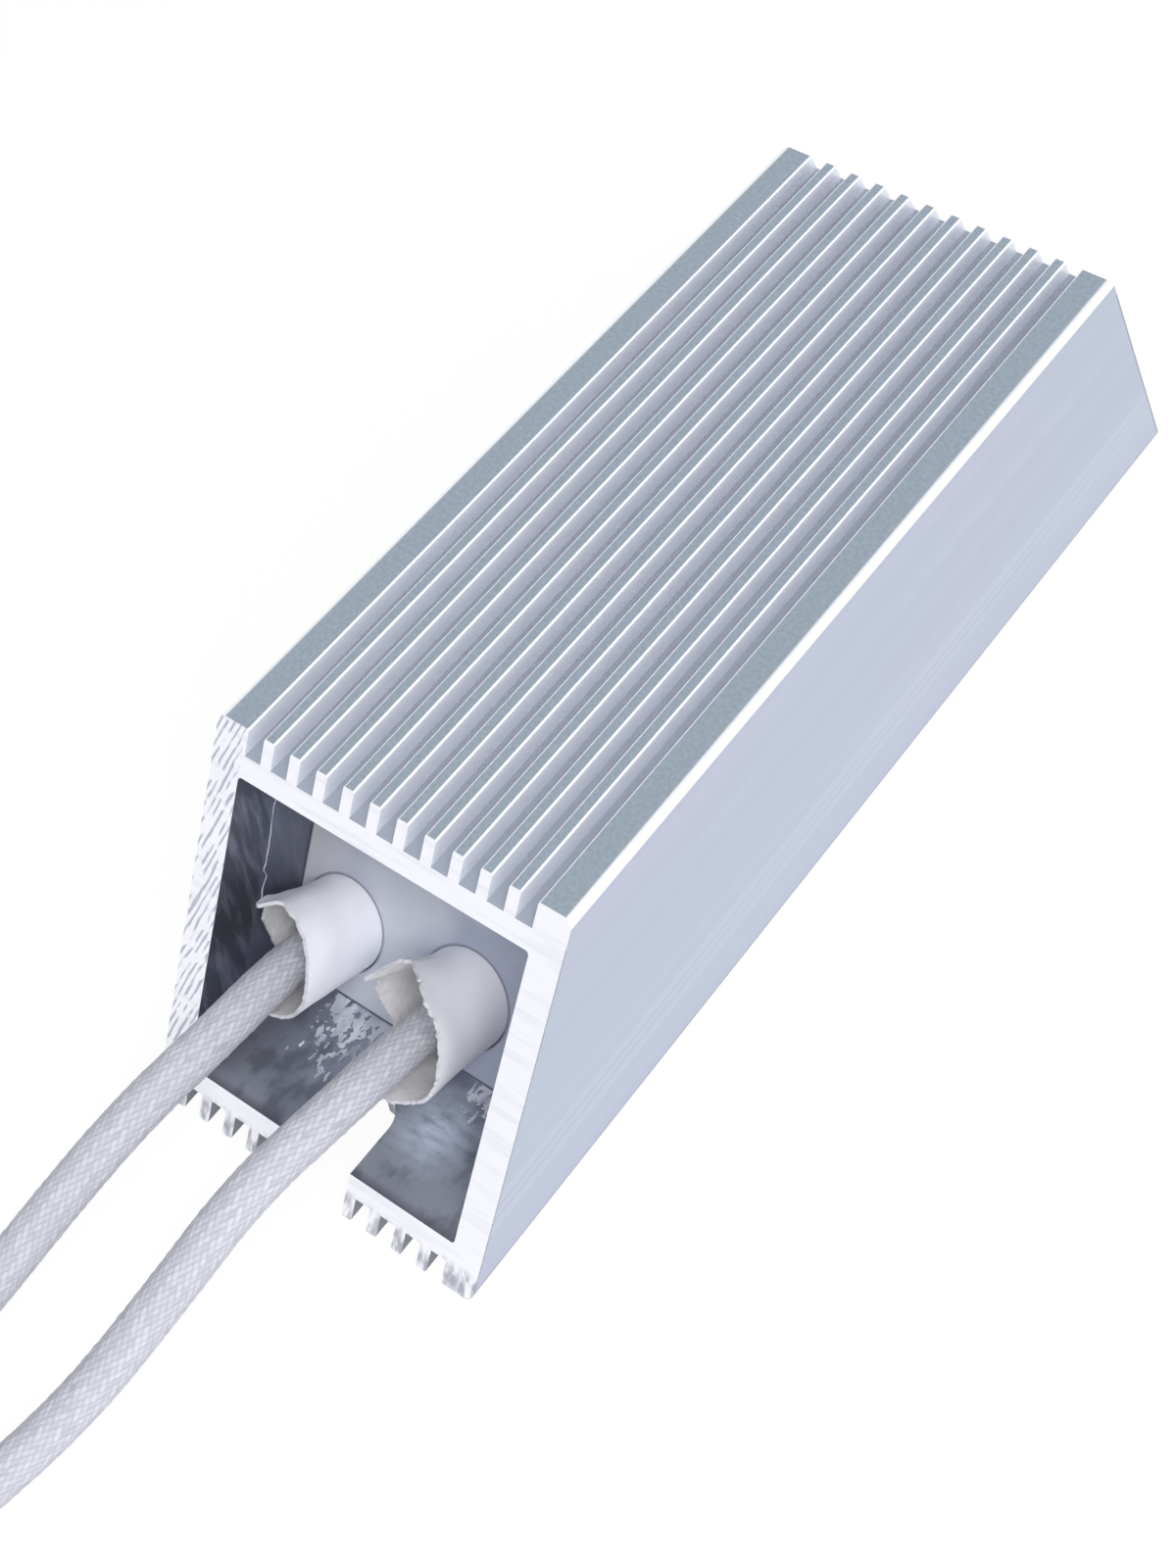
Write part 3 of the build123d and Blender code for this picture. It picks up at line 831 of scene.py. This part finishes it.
# Lead ends
#
# A tinned ring lug is crimped on each lead's bared strands, and a white shrink sleeve
# covers the crimp.
tin_dark_colour = (0.62, 0.62, 0.61, 1)
tin_light_colour = (0.82, 0.82, 0.80, 1)
tinned, tree, surface = new_material("tinned_lug", metallic=1.0)
place = wire(tree, "ShaderNodeTexCoord").outputs["Object"]
tin = grained(tree, place, (1, 1, 1), 420.0, 4.0, tin_dark_colour, tin_light_colour)
tree.links.new(tin["Colour"], surface.inputs["Base Color"])
roughness = maths(tree, "ADD", 0.2, product(tree, tin["Grain"], 0.25))
tree.links.new(roughness, surface.inputs["Roughness"])
emboss(tree, surface, tin["Grain"], 0.05 * MM, 0.4)
shrink_plastic = grained_material(
    "shrink_plastic",
    (0.42,),
    240.0,
    dark=(0.70, 0.70, 0.72, 1),
    light=(0.80, 0.80, 0.82, 1),
    depth=0.3 * MM,
)
copper = grained_material(
    "bare_copper",
    (0.35, 1.0),
    900.0,
    dark=(0.66, 0.32, 0.18, 1),
    light=(0.86, 0.50, 0.32, 1),
    depth=0.1 * MM,
)
for side in sleeves:
    finish_node(f"ring_lug_{side}", tinned)
    finish_node(f"shrink_sleeve_{side}", shrink_plastic)
    finish_node(f"conductor_end_{side}", copper)

# Inner pieces
#
# Two ribbon-wound ceramic formers lie in bonded sand between mica boards. None of it shows
# once the seals are poured, so each piece keeps its CAD shape with its own plain finish.
inner_relief = 0.1 * MM
inner_finishes = {
    "ceramic": ((0.6,), 500.0, (0.80, 0.78, 0.72, 1), (0.90, 0.88, 0.83, 1)),
    "resistance_ribbon": ((0.4, 1.0), 700.0, (0.20, 0.20, 0.21, 1), (0.34, 0.33, 0.32, 1)),
    "mica_board": ((0.55,), 300.0, (0.55, 0.49, 0.38, 1), (0.70, 0.64, 0.50, 1)),
    "bonded_sand": ((0.9,), 1600.0, (0.50, 0.47, 0.41, 1), (0.76, 0.72, 0.64, 1)),
    "tinned_brass": ((0.35, 1.0), 600.0, (0.60, 0.57, 0.48, 1), (0.74, 0.71, 0.62, 1)),
}
inner_nodes = {
    "ceramic_former": "ceramic",
    "resistance_winding": "resistance_ribbon",
    "mica_sheet": "mica_board",
    "spacer_plate": "mica_board",
    "sand_fill": "bonded_sand",
    "terminal_band": "tinned_brass",
    "far_link_strip": "tinned_brass",
    "crimp_ferrule": "tinned_brass",
}
inner_materials = {
    name: grained_material(name, *finish, depth=inner_relief)
    for name, finish in inner_finishes.items()
}
for name in nodes:
    for key, finish in inner_nodes.items():
        if key in name:
            finish_node(name, inner_materials[finish])
for side in sleeves:
    finish_node(f"lead_{side}_conductor", copper)
    finish_node(f"lead_{side}_in_seal", sleeve_cloth)

# Bench, light and camera
#
# A white bench under a plain studio light: bright all round and duller overhead, with a large
# soft lamp at the right and a smaller one in front. The bench glows to the camera, so that
# it fades into the white behind it.
bench_glow = 0.93
sky_colour = (0.78, 0.80, 0.85, 1)
overhead_colour = (0.52, 0.54, 0.56, 1)
white = (1, 1, 1, 1)
lamps = {
    "right_lamp": {"place": (0.72, 0.20, 0.42), "size": (1.0, 0.6), "energy": 2.5},
    "front_lamp": {"place": (0.31, -0.34, 0.66), "size": (0.4, 0.4), "energy": 5.0},
}
camera_place = (0.13742, -0.18600, 0.31070)
camera_right = Vector((0.8044, 0.5910, -0.0615))
camera_up = Vector((-0.4532, 0.6772, 0.5796))

bpy.ops.mesh.primitive_plane_add(size=6, location=(0, 0, -0.0002))
bench = bpy.context.object
bench.name = "bench"
bench_white, tree, surface = new_material("bench_white", roughness=0.9, specular=0.1)
surface.inputs["Base Color"].default_value = (0.9, 0.9, 0.9, 1)
rays = wire(tree, "ShaderNodeLightPath").outputs
seen = maths(tree, "ADD", rays["Is Camera Ray"], rays["Is Glossy Ray"])
seen = maths(tree, "MINIMUM", maths(tree, "ADD", seen, rays["Is Transmission Ray"]), 1.0)
glow = wire(tree, "ShaderNodeEmission", Color=white, Strength=1.0)
mixed = wire(
    tree,
    "ShaderNodeMixShader",
    i0=product(tree, seen, bench_glow),
    i1=surface.outputs[0],
    i2=glow.outputs[0],
)
tree.links.new(mixed.outputs[0], tree.nodes["Material Output"].inputs["Surface"])
bench.data.materials.append(bench_white)

world = bpy.data.worlds.new("studio")
world.use_nodes = True
bpy.context.scene.world = world
tree = world.node_tree
sky = tree.nodes["Background"]
direction = wire(tree, "ShaderNodeTexCoord").outputs["Generated"]
direction = wire(tree, "ShaderNodeSeparateXYZ", Vector=direction).outputs
overhead = band(tree, direction[2], 0.35, 0.85)
shade = blend_colours(tree, overhead, sky_colour, overhead_colour)
seen = wire(tree, "ShaderNodeLightPath").outputs["Is Camera Ray"]
tree.links.new(blend_colours(tree, seen, shade, white), sky.inputs["Color"])
sky.inputs["Strength"].default_value = 1.0

for name, sizes in lamps.items():
    lamp_place = Vector(sizes["place"])
    bpy.ops.object.light_add(type="AREA", location=lamp_place)
    lamp = bpy.context.object
    lamp.name = name
    lamp.data.shape = "RECTANGLE"
    lamp.data.size, lamp.data.size_y = sizes["size"]
    lamp.data.energy = sizes["energy"]
    lamp.rotation_mode = "QUATERNION"
    lamp.rotation_quaternion = (-lamp_place).to_track_quat("-Z", "Y")

bpy.ops.object.camera_add()
camera = bpy.context.object
camera.data.lens = 54
camera.data.sensor_width = 36
camera.data.clip_start = 0.01
camera_back = camera_right.cross(camera_up)
camera_axes = (camera_right.normalized(), camera_up.normalized(), camera_back.normalized())
camera_turn = Matrix(camera_axes).transposed().to_4x4()
camera.matrix_world = Matrix.Translation(camera_place) @ camera_turn
bpy.context.scene.camera = camera
